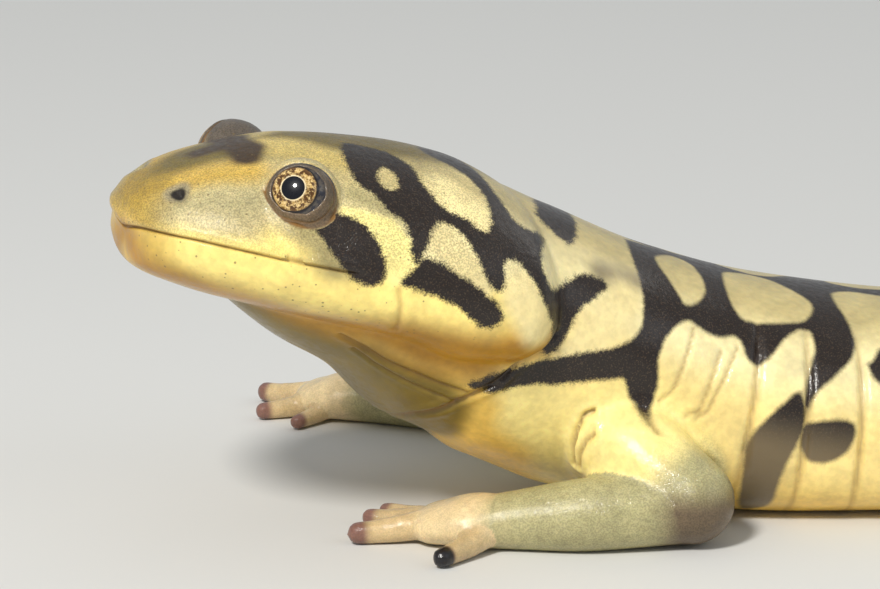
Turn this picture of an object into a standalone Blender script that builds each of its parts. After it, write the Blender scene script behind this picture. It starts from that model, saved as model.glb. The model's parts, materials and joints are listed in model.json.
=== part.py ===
"""A barred tiger salamander at life size, resting on its belly and forearms with its head raised.

The animal lies along X with its snout towards -X, its left side towards -Y and its back up. The
origin is on the floor under the middle of the trunk. Measures are in millimetres and angles in
degrees until a mesh is made, which is in metres.

The head and the body hang on one curve, the spine, which runs from the tip of the snout to the tip
of the tail: each is a loft through cross-sections whose sizes are listed along it. The legs and the
toes are tapered limbs through their joints, and whatever lies nearer to the spine cuts them to fit.
A slab takes off all that would sink into the floor, so everything that rests does so on flats at
one level.
"""

import math

import bmesh
import bpy
import numpy as np
from mathutils import Vector

MM = 0.001
GAP = 0.3  # between neighbouring pieces
LENGTH = 220.0
TRUNK_MIDDLE = 80.0  # distance behind the snout of the point above the origin
SPINE_HEIGHT = 7.3  # above the floor at the middle of the trunk
NECK_START = 7.0

# (distance behind the snout, climb towards the snout, turn of the snout towards the left)
POSE = [
    (0, 12.5, 14),
    (24, 12.5, 14),
    (33, 26, 11),
    (41, 22, 5.5),
    (50, 11, 1),
    (60, 5, 0),
    (72, 1, 0),
    (108, 0, 0),
    (116, 3.5, -4),
    (140, 3.5, -14),
    (160, 3.5, -11),
    (180, 3.5, 0),
    (200, 3.5, 15),
    (220, 3.5, 26),
]

# (distance behind the snout, half width, top, bottom, level of the widest point,
#  squareness of the upper half, squareness of the lower half), heights from the spine
HEAD = [
    (0.0, 1.0, 1.7, 0.8, 1.2, 2.0, 2.0),
    (0.12, 2.4, 2.1, 0.1, 1.1, 2.0, 2.0),
    (0.4, 3.7, 2.5, -0.8, 1.0, 2.0, 2.0),
    (1.0, 5.2, 3.3, -2.4, 0.9, 2.0, 2.1),
    (2.0, 6.6, 4.1, -2.9, 0.8, 2.1, 2.2),
    (3.5, 7.8, 5.1, -3.2, 0.7, 2.1, 2.3),
    (5.5, 8.8, 6.1, -3.5, 0.6, 2.0, 2.4),
    (8.0, 9.6, 7.1, -3.7, 0.4, 1.9, 2.5),
    (11.0, 10.3, 7.9, -3.9, 0.2, 1.9, 2.6),
    (15.0, 10.9, 8.2, -4.2, -0.2, 2.1, 2.6),
    (19.0, 11.5, 8.3, -4.6, -0.7, 2.2, 2.6),
    (23.0, 12.0, 8.0, -5.6, -1.2, 2.2, 2.6),
    (26.5, 12.0, 6.9, -5.4, -1.4, 2.1, 2.5),
    (29.0, 10.8, 4.9, -4.4, -1.4, 2.0, 2.3),
    (30.5, 8.5, 3.0, -3.2, -1.0, 2.0, 2.0),
    (31.2, 4.5, 1.2, -1.6, -0.4, 2.0, 2.0),
]
BODY = [
    (7.0, 2.0, 0.0, -3.0, -1.0, 2.0, 2.0),
    (10.0, 5.0, 2.4, -4.8, -1.0, 2.0, 2.0),
    (13.0, 6.8, 4.8, -6.3, -1.0, 2.0, 2.0),
    (17.0, 8.2, 6.5, -7.7, -1.0, 2.0, 2.0),
    (21.0, 9.0, 7.2, -10.2, -1.0, 2.0, 2.0),
    (25.0, 9.5, 7.0, -11.4, -1.0, 2.0, 2.1),
    (30.0, 9.6, 6.2, -12.4, -1.0, 2.0, 2.2),
    (36.0, 9.6, 6.1, -12.4, -1.2, 2.0, 2.3),
    (42.0, 9.9, 6.3, -11.2, -1.6, 2.1, 2.6),
    (50.0, 10.8, 6.4, -9.7, -2.0, 2.1, 3.0),
    (60.0, 11.6, 6.2, -8.3, -2.4, 2.1, 3.2),
    (75.0, 12.2, 6.0, -7.7, -2.7, 2.1, 3.3),
    (90.0, 12.0, 5.9, -7.6, -2.7, 2.1, 3.3),
    (104.0, 10.8, 5.7, -7.5, -2.3, 2.1, 3.0),
    (113.0, 9.4, 5.4, -7.4, -1.6, 2.1, 2.7),
    (122.0, 7.8, 5.3, -6.9, -0.9, 2.0, 2.4),
    (132.0, 6.1, 5.2, -6.3, -0.3, 2.0, 2.2),
    (145.0, 4.9, 5.0, -5.6, 0.0, 2.0, 2.1),
    (160.0, 4.1, 4.7, -4.7, 0.0, 2.0, 2.0),
    (180.0, 3.1, 4.2, -3.5, 0.0, 2.0, 2.0),
    (200.0, 2.1, 3.2, -2.3, 0.0, 2.0, 2.0),
    (213.0, 1.2, 2.0, -1.4, 0.0, 2.0, 2.0),
    (220.0, 0.4, 0.5, -0.5, 0.0, 2.0, 2.0),
]

# (node, where it starts, where it ends, rings, points round it)
BODY_PIECES = [
    ("neck", NECK_START, 36, 10, 28),
    ("shoulders", 36, 58, 6, 28),
    ("belly", 58, 92, 6, 28),
    ("hips", 92, 122, 7, 28),
    ("tail_base", 122, 152, 6, 20),
    ("tail_middle", 152, 186, 6, 18),
    ("tail_tip", 186, LENGTH, 8, 14),
]

# (distance behind the snout, height) of the line between the jaws, back past the jaw joint
MOUTH = [
    (-2, -0.1),
    (0.3, 0.1),
    (0.7, 0.5),
    (2, 0.8),
    (4.5, 0.95),
    (7, 0.9),
    (9.5, 0.75),
    (12, 0.6),
    (14.5, 0.55),
    (16, 0.7),
    (19, -0.4),
    (23, -2.9),
    (27, -4.4),
    (33, -5.0),
]
BELOW_JAW = -14.0

EYE = (9.9, 6.9, 4.8)  # behind the snout, out from the spine and above it
EYE_RADIUS = 2.5
EYE_MOUND = (10.1, 6.6, 4.6)
EYE_MOUND_RADIUS = 3.0
NOSTRIL = (2.1, 4.0, 3.4)
NOSTRIL_RADIUS = 0.45

# Joints of each leg piece: (x, y, height above the floor, half width, half height)
LIMBS = {
    "arm_left_upper": [
        (-43.4, -5.0, 7.8, 4.3, 4.2),
        (-41.0, -10.0, 5.9, 3.6, 3.6),
        (-37.4, -13.4, 3.2, 3.0, 3.1),
    ],
    "arm_left_lower": [
        (-38.2, -13.4, 2.8, 2.6, 2.6),
        (-44.0, -13.2, 2.5, 2.8, 2.6),
        (-50.3, -12.0, 1.9, 2.3, 2.0),
    ],
    "arm_right_upper": [
        (-43.8, 5.0, 7.8, 4.3, 4.2),
        (-43.6, 10.8, 6.6, 3.9, 3.9),
        (-44.2, 16.2, 3.4, 3.0, 3.1),
    ],
    "arm_right_lower": [
        (-44.8, 16.6, 2.9, 2.6, 2.6),
        (-49.8, 19.4, 2.5, 2.8, 2.6),
        (-55.2, 22.4, 1.9, 2.3, 2.0),
    ],
    "leg_left_upper": [
        (32.5, -4.0, 6.2, 4.4, 4.4),
        (29.5, -10.6, 5.4, 4.1, 4.1),
        (26.5, -16.2, 3.6, 3.2, 3.2),
    ],
    "leg_left_lower": [
        (27.0, -16.7, 3.2, 2.8, 2.8),
        (30.0, -19.8, 2.8, 3.0, 2.8),
        (33.6, -23.0, 2.0, 2.4, 2.1),
    ],
    "leg_right_upper": [
        (34.5, 4.0, 6.2, 4.4, 4.4),
        (33.0, 10.6, 5.4, 4.1, 4.1),
        (31.6, 16.6, 3.6, 3.2, 3.2),
    ],
    "leg_right_lower": [
        (32.2, 17.0, 3.2, 2.8, 2.8),
        (36.0, 19.6, 2.8, 3.0, 2.8),
        (40.6, 22.0, 2.0, 2.4, 2.1),
    ],
}
# Each palm or sole: its joints as above, then each digit: (x and y of its root, x and y of its tip, radius)
FEET = {
    "hand_left": (
        [(-50.3, -12.0, 1.8, 2.3, 1.9), (-52.4, -10.8, 1.7, 3.2, 1.8), (-54.4, -9.8, 1.35, 3.0, 1.45)],
        [
            (-54.0, -7.6, -57.6, -3.8, 0.7),
            (-54.8, -8.2, -59.0, -5.8, 0.8),
            (-55.2, -10.0, -60.4, -9.9, 0.95),
            (-51.8, -13.0, -55.4, -16.4, 0.85),
        ],
    ),
    "hand_right": (
        [(-55.2, 22.4, 1.8, 2.3, 1.9), (-57.0, 23.8, 1.7, 3.2, 1.8), (-58.4, 25.2, 1.35, 3.0, 1.45)],
        [
            (-58.2, 23.2, -61.2, 20.6, 0.7),
            (-59.2, 24.4, -63.4, 23.8, 0.8),
            (-59.2, 25.8, -62.6, 29.0, 0.9),
            (-56.4, 25.6, -57.4, 30.2, 0.8),
        ],
    ),
    "foot_left": (
        [(33.6, -23.0, 1.8, 2.3, 1.9), (31.8, -25.4, 1.6, 3.3, 1.7), (30.2, -27.4, 1.35, 3.2, 1.45)],
        [
            (30.0, -25.2, 25.6, -23.8, 0.7),
            (29.0, -27.0, 23.6, -27.0, 0.8),
            (28.8, -28.6, 23.8, -31.6, 0.85),
            (29.8, -29.6, 27.0, -34.2, 0.85),
            (31.8, -28.6, 31.8, -33.6, 0.75),
        ],
    ),
    "foot_right": (
        [(40.6, 22.0, 1.8, 2.3, 1.9), (39.4, 24.6, 1.6, 3.3, 1.7), (38.0, 26.8, 1.35, 3.2, 1.45)],
        [
            (37.6, 24.6, 33.6, 22.8, 0.7),
            (36.8, 26.2, 31.6, 26.0, 0.8),
            (36.8, 27.8, 32.4, 30.8, 0.85),
            (37.8, 28.8, 36.0, 33.8, 0.85),
            (39.8, 27.8, 41.0, 32.6, 0.75),
        ],
    ),
}

SKIN_COLOUR, SKIN_ROUGHNESS = (0.42, 0.36, 0.13), 0.35
EYE_COLOUR, EYE_ROUGHNESS = (0.55, 0.36, 0.09), 0.15


def smooth_curve(keys):
    """A function through the keys' first column that gives the rest, smooth and with no overshoot."""
    keys = np.array(keys, float)
    at, values = keys[:, 0], keys[:, 1:]
    step = np.diff(at)[:, None]
    slope = np.diff(values, axis=0) / step
    ends = np.zeros_like(values)
    ends[0], ends[-1] = slope[0], slope[-1]
    before, after = slope[:-1], slope[1:]
    one_way = before * after > 0
    both = np.where(one_way, before + after, 1.0)
    ends[1:-1] = np.where(one_way, 2 * before * after / both, 0.0)

    def value(s):
        s = np.clip(np.atleast_1d(np.asarray(s, float)), at[0], at[-1])
        i = np.clip(np.searchsorted(at, s, side="right") - 1, 0, len(at) - 2)
        h = step[i]
        t = (s - at[i])[:, None] / h
        rest = (1 - t) ** 2 * ((1 + 2 * t) * values[i] + t * h * ends[i])
        return rest + t**2 * ((3 - 2 * t) * values[i + 1] - (1 - t) * h * ends[i + 1])

    return value


class Spine:
    """The curve that the animal is built round, and the frame that travels along it."""

    STEP = 0.25

    def __init__(self):
        self.s = np.arange(0, LENGTH + self.STEP, self.STEP)
        climb, turn = np.radians(smooth_curve(POSE)(self.s)).T
        self.along = np.stack(
            [np.cos(climb) * np.cos(turn), np.cos(climb) * np.sin(turn), -np.sin(climb)], axis=1
        )
        self.at = np.cumsum(self.along, axis=0) * self.STEP
        self.at += np.array([0, 0, SPINE_HEIGHT]) - self.at[int(TRUNK_MIDDLE / self.STEP)]

    def place(self, s, left, up):
        """World points at a distance behind the snout, to the left of the spine and above it."""
        s, left, up = np.broadcast_arrays(*(np.asarray(v, float) for v in (s, left, up)))
        at = np.stack([np.interp(s, self.s, self.at[:, k]) for k in range(3)], axis=-1)
        along = np.stack([np.interp(s, self.s, self.along[:, k]) for k in range(3)], axis=-1)
        along /= np.linalg.norm(along, axis=-1, keepdims=True)
        side = np.stack([along[..., 1], -along[..., 0], 0 * along[..., 0]], axis=-1)
        side /= np.linalg.norm(side, axis=-1, keepdims=True)
        rise = np.cross(side, along)
        beyond = s - np.clip(s, self.s[0], self.s[-1])
        return at + along * beyond[..., None] + side * left[..., None] + rise * up[..., None]


def ring(section, around, grow):
    """(left, up) of points round one cross-section, from the left side over the back."""
    half_width, top, bottom, widest, upper, lower = section
    turn = np.linspace(0, 2 * math.pi, around, endpoint=False)
    over = np.sin(turn) >= 0
    power = 2 / np.where(over, upper, lower)
    reach = np.where(over, top - widest, widest - bottom) + grow
    left = (half_width + grow) * np.sign(np.cos(turn)) * np.abs(np.cos(turn)) ** power
    up = widest + reach * np.sign(np.sin(turn)) * np.abs(np.sin(turn)) ** power
    return left, up


def loft_rings(spine, table, stations, around, grow=0.0):
    """Rings of world points through a table of sections. What grows also reaches further at its ends."""
    section = smooth_curve(table)
    beyond = {stations[0]: -grow, stations[-1]: grow}
    rings = []
    for s in stations:
        left, up = ring(section(s)[0], around, grow)
        rings.append(spine.place(s + beyond.get(s, 0.0), left, up))
    return rings


def limb_rings(joints, around, steps=6, grow=0.0, bends=(34, 64)):
    """Rings round a smooth path through joints (x, y, z, half width, half height), its ends rounded."""
    keys = [(i, *joint) for i, joint in enumerate(joints)]
    rows = smooth_curve(keys)(np.linspace(0, len(joints) - 1, steps))
    centre, size = rows[:, :3], rows[:, 3:] + grow
    along = np.gradient(centre, axis=0)
    along /= np.linalg.norm(along, axis=1, keepdims=True)
    side = np.cross(along, (0, 0, 1))
    side /= np.linalg.norm(side, axis=1, keepdims=True)
    rise = np.cross(side, along)
    turn = np.linspace(0, 2 * math.pi, around, endpoint=False)[:, None]

    def section(i, bend):
        """The ring at a row, or, where it bends, one on the dome that closes that end."""
        hub = centre[i] + along[i] * size[i].mean() * math.sin(bend)
        wide, high = size[i] * math.cos(bend)
        return hub + np.cos(turn) * side[i] * wide + np.sin(turn) * rise[i] * high

    dome = [math.radians(bend) for bend in bends]
    start = [section(0, -bend) for bend in reversed(dome)]
    return start + [section(i, 0) for i in range(steps)] + [section(-1, bend) for bend in dome]


def ball_rings(centre, radius, around=16, rows=8):
    """Rings of a ball, from its -X pole to its +X pole, which the fans of a solid close."""
    turn = np.linspace(0, 2 * math.pi, around, endpoint=False)[:, None]
    rings = []
    for bend in np.linspace(0, math.pi, rows + 1)[1:-1]:
        round_it = np.hstack([0 * turn, np.cos(turn), np.sin(turn)]) * math.sin(bend)
        rings.append(centre + radius * (round_it - np.array([math.cos(bend), 0, 0])))
    return rings


def linked(name, bm):
    """An object of its own from a bmesh, with its faces turned outwards."""
    bmesh.ops.recalc_face_normals(bm, faces=bm.faces)
    mesh = bpy.data.meshes.new(name)
    bm.to_mesh(mesh)
    bm.free()
    obj = bpy.data.objects.new(name, mesh)
    bpy.context.scene.collection.objects.link(obj)
    return obj


def solid(name, rings, bulge=0.0):
    """A closed mesh through rings of points. Its ends are fans, whose middle may bulge outwards."""
    bm = bmesh.new()
    loops = [[bm.verts.new(Vector(p) * MM) for p in points] for points in rings]
    for a, b in zip(loops, loops[1:]):
        for i in range(len(a)):
            j = (i + 1) % len(a)
            bm.faces.new((a[i], a[j], b[j], b[i]))
    for loop, points, inner in ((loops[0], rings[0], rings[1]), (loops[-1], rings[-1], rings[-2])):
        outward = points.mean(axis=0) - inner.mean(axis=0)
        middle = points.mean(axis=0) + bulge * outward / np.linalg.norm(outward)
        hub = bm.verts.new(Vector(middle) * MM)
        for i in range(len(loop)):
            bm.faces.new((loop[i], loop[(i + 1) % len(loop)], hub))
    return linked(name, bm)


def under_mouth(name, spine, drop):
    """All that lies below the line between the jaws, less a drop, as a solid wider than the head."""
    line = smooth_curve(MOUTH)
    first, last = MOUTH[0][0], MOUTH[-1][0]
    at = np.arange(first, last + 1, 1.0)
    outline = [*zip(at, line(at)[:, 0] - drop), (last, BELOW_JAW), (first, BELOW_JAW)]
    bm = bmesh.new()
    sides = []
    for left in (-LENGTH / 10, LENGTH / 10):
        sides.append([bm.verts.new(Vector(spine.place(s, left, up)) * MM) for s, up in outline])
    for i in range(len(outline)):
        j = (i + 1) % len(outline)
        bm.faces.new((sides[0][i], sides[0][j], sides[1][j], sides[1][i]))
    bm.faces.new(sides[0])
    bm.faces.new(sides[1])
    bmesh.ops.triangulate(bm, faces=bm.faces)
    return helper(linked(name, bm))


def helper(obj):
    obj.hide_render = True
    obj.display_type = "WIRE"
    return obj


def boolean(obj, operation, other):
    modifier = obj.modifiers.new(f"{operation.lower()} {other.name}", "BOOLEAN")
    modifier.operation, modifier.solver, modifier.object = operation, "EXACT", other


def paint(obj, name, colour, roughness):
    material = bpy.data.materials.get(name) or bpy.data.materials.new(name)
    material.use_nodes = True
    surface = material.node_tree.nodes["Principled BSDF"]
    surface.inputs["Base Color"].default_value = (*colour, 1)
    surface.inputs["Roughness"].default_value = roughness
    material.diffuse_color = (*colour, 1)
    obj.data.materials.append(material)


def head_solid(spine, name, grow=0.0):
    stations = [row[0] for row in HEAD]
    return solid(name, loft_rings(spine, HEAD, stations, 32, grow))


def make_head(spine):
    """The upper head with its nostrils, the lower jaw, and the eyes in their sockets."""
    head = head_solid(spine, "head")
    jaw = head_solid(spine, "lower_jaw")
    for side, word in ((1, "left"), (-1, "right")):
        centres = [spine.place(s, side * left, up) for s, left, up in (EYE, EYE_MOUND, NOSTRIL)]
        eye_at, mound_at, nostril_at = centres
        mound = solid(f"mound_{word}", ball_rings(mound_at, EYE_MOUND_RADIUS))
        socket = solid(f"socket_{word}", ball_rings(eye_at, EYE_RADIUS + GAP))
        nostril = solid(f"nostril_{word}", ball_rings(nostril_at, NOSTRIL_RADIUS, 8, 4))
        boolean(head, "UNION", helper(mound))
        boolean(head, "DIFFERENCE", helper(socket))
        boolean(head, "DIFFERENCE", helper(nostril))
        eye = solid(f"eye_{word}", ball_rings(eye_at, EYE_RADIUS))
        paint(eye, "eye", EYE_COLOUR, EYE_ROUGHNESS)
    boolean(head, "DIFFERENCE", under_mouth("below_mouth", spine, -GAP / 2))
    boolean(jaw, "INTERSECT", under_mouth("jaw_room", spine, GAP / 2))
    for piece in (head, jaw):
        paint(piece, "skin", SKIN_COLOUR, SKIN_ROUGHNESS)


def make_body(spine, floor):
    head_room = helper(head_solid(spine, "head_room", GAP))
    for name, start, end, rings, around in BODY_PIECES:
        last = end if end == LENGTH else end - GAP
        piece = solid(name, loft_rings(spine, BODY, list(np.linspace(start, last, rings)), around))
        if name == "neck":
            boolean(piece, "DIFFERENCE", head_room)
        else:
            boolean(piece, "DIFFERENCE", floor)
        paint(piece, "skin", SKIN_COLOUR, SKIN_ROUGHNESS)


def digit(name, root_x, root_y, tip_x, tip_y, radius):
    """A toe that slopes down from the palm and lies along the floor."""
    joints = []
    for t, height, size in ((0.0, 1.5, 1.15), (0.5, 1.05, 1.0), (1.0, 0.85, 0.8)):
        place = root_x + (tip_x - root_x) * t, root_y + (tip_y - root_y) * t
        joints.append((*place, radius * height, radius * size, radius * size))
    return solid(name, limb_rings(joints, 8, 3, bends=(42,)), radius * 0.25)


def make_legs(spine, floor):
    body_room = helper(solid("body_room", loft_rings(spine, BODY, list(np.linspace(20, 160, 29)), 36, GAP)))
    rooms = {}
    for name, joints in LIMBS.items():
        limb = solid(name, limb_rings(joints, 14), joints[-1][3] * 0.1)
        rooms[name] = helper(solid(f"{name}_room", limb_rings(joints, 14, grow=GAP), joints[-1][3] * 0.1))
        upper = name.replace("lower", "upper")
        boolean(limb, "DIFFERENCE", body_room if name == upper else rooms[upper])
        boolean(limb, "DIFFERENCE", floor)
        paint(limb, "skin", SKIN_COLOUR, SKIN_ROUGHNESS)
    for name, (joints, digits) in FEET.items():
        foot = solid(name, limb_rings(joints, 12, 4, bends=(42,)), joints[-1][4] * 0.2)
        for i, sizes in enumerate(digits):
            boolean(foot, "UNION", helper(digit(f"{name}_digit_{i + 1}", *sizes)))
        leg = name.replace("hand", "arm").replace("foot", "leg") + "_lower"
        boolean(foot, "DIFFERENCE", rooms[leg])
        boolean(foot, "DIFFERENCE", floor)
        paint(foot, "skin", SKIN_COLOUR, SKIN_ROUGHNESS)


def main():
    for old in list(bpy.data.objects):
        bpy.data.objects.remove(old)
    spine = Spine()
    corners = [(-LENGTH, -LENGTH), (LENGTH, -LENGTH), (LENGTH, LENGTH), (-LENGTH, LENGTH)]
    floor = helper(solid("floor_room", [np.array([(x, y, z) for x, y in corners]) for z in (-LENGTH, 0.0)]))
    make_head(spine)
    make_body(spine, floor)
    make_legs(spine, floor)


main()
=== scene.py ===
"""The looks of the salamander: one skin over its solids, its two eyes, and a studio round it.

The skin is made as the solids are and from the same sizes, but as one surface: finer shells of the
head, the body, the legs and the toes are fused, smoothed where they meet, and then shaped by lids,
lips, nostrils and folds. Every place on it is told in the animal's own measures: how far it lies
behind the snout along the spine, and at which angle round it, where 0 is the left side, 90 the
middle of the back and -90 the middle of the belly. The markings are outlines in those measures, and
the ground colours and the folds are strokes. The skin carries its ground colour and how far each
point is from a marking, which its material turns into stippled edges.

Where the photograph shows them, the points of the marks, of the folds and of the line of the mouth
were picked by eye along their edges, turned into those measures by a scratch script that knew the
camera, and rounded, and many of them were then moved by hand. The rest is made up in their manner.

Measures are in millimetres and degrees until a mesh is done, which is in metres.
"""

import json
import math

import bmesh
import bpy
import numpy as np
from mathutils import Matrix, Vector

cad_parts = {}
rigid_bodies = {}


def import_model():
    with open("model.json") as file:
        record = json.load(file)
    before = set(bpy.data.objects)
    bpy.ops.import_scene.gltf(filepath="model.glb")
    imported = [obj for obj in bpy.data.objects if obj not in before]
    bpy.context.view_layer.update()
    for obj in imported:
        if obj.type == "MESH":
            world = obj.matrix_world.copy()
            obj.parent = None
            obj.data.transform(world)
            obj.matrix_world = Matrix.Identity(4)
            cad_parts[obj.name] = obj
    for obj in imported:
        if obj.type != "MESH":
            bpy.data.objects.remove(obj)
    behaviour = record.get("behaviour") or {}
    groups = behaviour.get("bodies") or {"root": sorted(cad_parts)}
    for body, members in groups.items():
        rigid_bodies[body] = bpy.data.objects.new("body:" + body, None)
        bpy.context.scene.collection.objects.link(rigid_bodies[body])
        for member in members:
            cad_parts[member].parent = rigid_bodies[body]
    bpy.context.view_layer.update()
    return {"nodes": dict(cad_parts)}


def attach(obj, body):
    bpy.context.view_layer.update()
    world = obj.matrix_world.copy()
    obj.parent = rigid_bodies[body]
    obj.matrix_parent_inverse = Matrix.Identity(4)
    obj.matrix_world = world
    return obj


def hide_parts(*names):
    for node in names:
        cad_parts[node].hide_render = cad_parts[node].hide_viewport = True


MM = 0.001

# ---------------------------------------------------------------- sizes shared with the solids

LENGTH = 220.0
TRUNK_MIDDLE = 80.0
SPINE_HEIGHT = 7.3
NECK_START = 7.0

# (distance behind the snout, climb towards the snout, turn of the snout towards the left)
POSE = [
    (0, 12.5, 14),
    (24, 12.5, 14),
    (33, 26, 11),
    (41, 22, 5.5),
    (50, 11, 1),
    (60, 5, 0),
    (72, 1, 0),
    (108, 0, 0),
    (116, 3.5, -4),
    (140, 3.5, -14),
    (160, 3.5, -11),
    (180, 3.5, 0),
    (200, 3.5, 15),
    (220, 3.5, 26),
]

# (distance behind the snout, half width, top, bottom, level of the widest point,
#  squareness of the upper half, squareness of the lower half), heights from the spine
HEAD = [
    (0, 1, 1.7, 0.8, 1.2, 2, 2),
    (0.12, 2.4, 2.1, 0.1, 1.1, 2, 2),
    (0.4, 3.7, 2.5, -0.8, 1, 2, 2),
    (1, 5.2, 3.3, -2.4, 0.9, 2, 2.1),
    (2, 6.6, 4.1, -2.9, 0.8, 2.1, 2.2),
    (3.5, 7.8, 5.1, -3.2, 0.7, 2.1, 2.3),
    (5.5, 8.8, 6.1, -3.5, 0.6, 2, 2.4),
    (8, 9.6, 7.1, -3.7, 0.4, 1.9, 2.5),
    (11, 10.3, 7.9, -3.9, 0.2, 1.9, 2.6),
    (15, 10.9, 8.2, -4.2, -0.2, 2.1, 2.6),
    (19, 11.5, 8.3, -4.6, -0.7, 2.2, 2.6),
    (23, 12, 8, -5.6, -1.2, 2.2, 2.6),
    (26.5, 12, 6.9, -5.4, -1.4, 2.1, 2.5),
    (29, 10.8, 4.9, -4.4, -1.4, 2, 2.3),
    (30.5, 8.5, 3, -3.2, -1, 2, 2),
    (31.2, 4.5, 1.2, -1.6, -0.4, 2, 2),
]
BODY = [
    (7, 2, 0, -3, -1, 2, 2),
    (10, 5, 2.4, -4.8, -1, 2, 2),
    (13, 6.8, 4.8, -6.3, -1, 2, 2),
    (17, 8.2, 6.5, -7.7, -1, 2, 2),
    (21, 9, 7.2, -10.2, -1, 2, 2),
    (25, 9.5, 7, -11.4, -1, 2, 2.1),
    (30, 9.6, 6.2, -12.4, -1, 2, 2.2),
    (36, 9.6, 6.1, -12.4, -1.2, 2, 2.3),
    (42, 9.9, 6.3, -11.2, -1.6, 2.1, 2.6),
    (50, 10.8, 6.4, -9.7, -2, 2.1, 3),
    (60, 11.6, 6.2, -8.3, -2.4, 2.1, 3.2),
    (75, 12.2, 6, -7.7, -2.7, 2.1, 3.3),
    (90, 12, 5.9, -7.6, -2.7, 2.1, 3.3),
    (104, 10.8, 5.7, -7.5, -2.3, 2.1, 3),
    (113, 9.4, 5.4, -7.4, -1.6, 2.1, 2.7),
    (122, 7.8, 5.3, -6.9, -0.9, 2, 2.4),
    (132, 6.1, 5.2, -6.3, -0.3, 2, 2.2),
    (145, 4.9, 5, -5.6, 0, 2, 2.1),
    (160, 4.1, 4.7, -4.7, 0, 2, 2),
    (180, 3.1, 4.2, -3.5, 0, 2, 2),
    (200, 2.1, 3.2, -2.3, 0, 2, 2),
    (213, 1.2, 2, -1.4, 0, 2, 2),
    (220, 0.4, 0.5, -0.5, 0, 2, 2),
]

EYE = (9.9, 6.9, 4.8)  # behind the snout, out from the spine and above it
EYE_RADIUS = 2.5

# Joints of each leg piece: (x, y, height above the floor, half width, half height)
LIMBS = {
    "arm_left_upper": [
        (-43.4, -5, 7.8, 4.3, 4.2), (-41, -10, 5.9, 3.6, 3.6), (-37.4, -13.4, 3.2, 3, 3.1),
    ],
    "arm_left_lower": [
        (-38.2, -13.4, 2.8, 2.6, 2.6), (-44, -13.2, 2.5, 2.8, 2.6), (-50.3, -12, 1.9, 2.3, 2),
    ],
    "arm_right_upper": [
        (-43.8, 5, 7.8, 4.3, 4.2), (-43.6, 10.8, 6.6, 3.9, 3.9), (-44.2, 16.2, 3.4, 3, 3.1),
    ],
    "arm_right_lower": [
        (-44.8, 16.6, 2.9, 2.6, 2.6), (-49.8, 19.4, 2.5, 2.8, 2.6), (-55.2, 22.4, 1.9, 2.3, 2),
    ],
    "leg_left_upper": [
        (32.5, -4, 6.2, 4.4, 4.4), (29.5, -10.6, 5.4, 4.1, 4.1), (26.5, -16.2, 3.6, 3.2, 3.2),
    ],
    "leg_left_lower": [
        (27, -16.7, 3.2, 2.8, 2.8), (30, -19.8, 2.8, 3, 2.8), (33.6, -23, 2, 2.4, 2.1),
    ],
    "leg_right_upper": [
        (34.5, 4, 6.2, 4.4, 4.4), (33, 10.6, 5.4, 4.1, 4.1), (31.6, 16.6, 3.6, 3.2, 3.2),
    ],
    "leg_right_lower": [
        (32.2, 17, 3.2, 2.8, 2.8), (36, 19.6, 2.8, 3, 2.8), (40.6, 22, 2, 2.4, 2.1),
    ],
}
# Each palm or sole: its joints as above, then its digits: (x and y of the root, x and y of the tip,
# radius), the last of them with a black tip
FEET = {
    "hand_left": (
        [(-50.3, -12, 1.8, 2.3, 1.9), (-52.4, -10.8, 1.7, 3.2, 1.8), (-54.4, -9.8, 1.35, 3, 1.45)],
        [
            (-54, -7.6, -57.6, -3.8, 0.7), (-54.8, -8.2, -59, -5.8, 0.8), (-55.2, -10, -60.4, -9.9, 0.95),
            (-51.8, -13, -55.4, -16.4, 0.85),
        ],
    ),
    "hand_right": (
        [(-55.2, 22.4, 1.8, 2.3, 1.9), (-57, 23.8, 1.7, 3.2, 1.8), (-58.4, 25.2, 1.35, 3, 1.45)],
        [
            (-58.2, 23.2, -61.2, 20.6, 0.7), (-59.2, 24.4, -63.4, 23.8, 0.8),
            (-59.2, 25.8, -62.6, 29, 0.9), (-56.4, 25.6, -57.4, 30.2, 0.8),
        ],
    ),
    "foot_left": (
        [(33.6, -23, 1.8, 2.3, 1.9), (31.8, -25.4, 1.6, 3.3, 1.7), (30.2, -27.4, 1.35, 3.2, 1.45)],
        [
            (30, -25.2, 25.6, -23.8, 0.7), (29, -27, 23.6, -27, 0.8), (28.8, -28.6, 23.8, -31.6, 0.85),
            (29.8, -29.6, 27, -34.2, 0.85), (31.8, -28.6, 31.8, -33.6, 0.75),
        ],
    ),
    "foot_right": (
        [(40.6, 22, 1.8, 2.3, 1.9), (39.4, 24.6, 1.6, 3.3, 1.7), (38, 26.8, 1.35, 3.2, 1.45)],
        [
            (37.6, 24.6, 33.6, 22.8, 0.7), (36.8, 26.2, 31.6, 26, 0.8), (36.8, 27.8, 32.4, 30.8, 0.85),
            (37.8, 28.8, 36, 33.8, 0.85), (39.8, 27.8, 41, 32.6, 0.75),
        ],
    ),
}

# ---------------------------------------------------------------- details of the skin

VOXEL = 0.24
FINE_UNTIL = 32.0  # the mesh is finer from the snout to here, and finer still at eyes, nose and lips
LOWEST = 0.02  # of the skin above the floor

# (distance from the tip of the snout, height) of the line between the jaws
MOUTH = [
    (0, -0.1),
    (1.2, 0.12),
    (2.4, 0.34),
    (3.9, 0.53),
    (4.9, 0.63),
    (6.2, 0.74),
    (8.3, 0.87),
    (10.9, 0.83),
    (13.1, 0.72),
    (15.4, 0.68),
    (18, 0.6),
    (19.3, 0.7),
    (22, -0.4),
]
JAW_END = 13.4  # where the line between the lips stops
NOSTRIL = (2.1, 4.0, 3.4)  # behind the snout, out from the spine and above it

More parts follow.
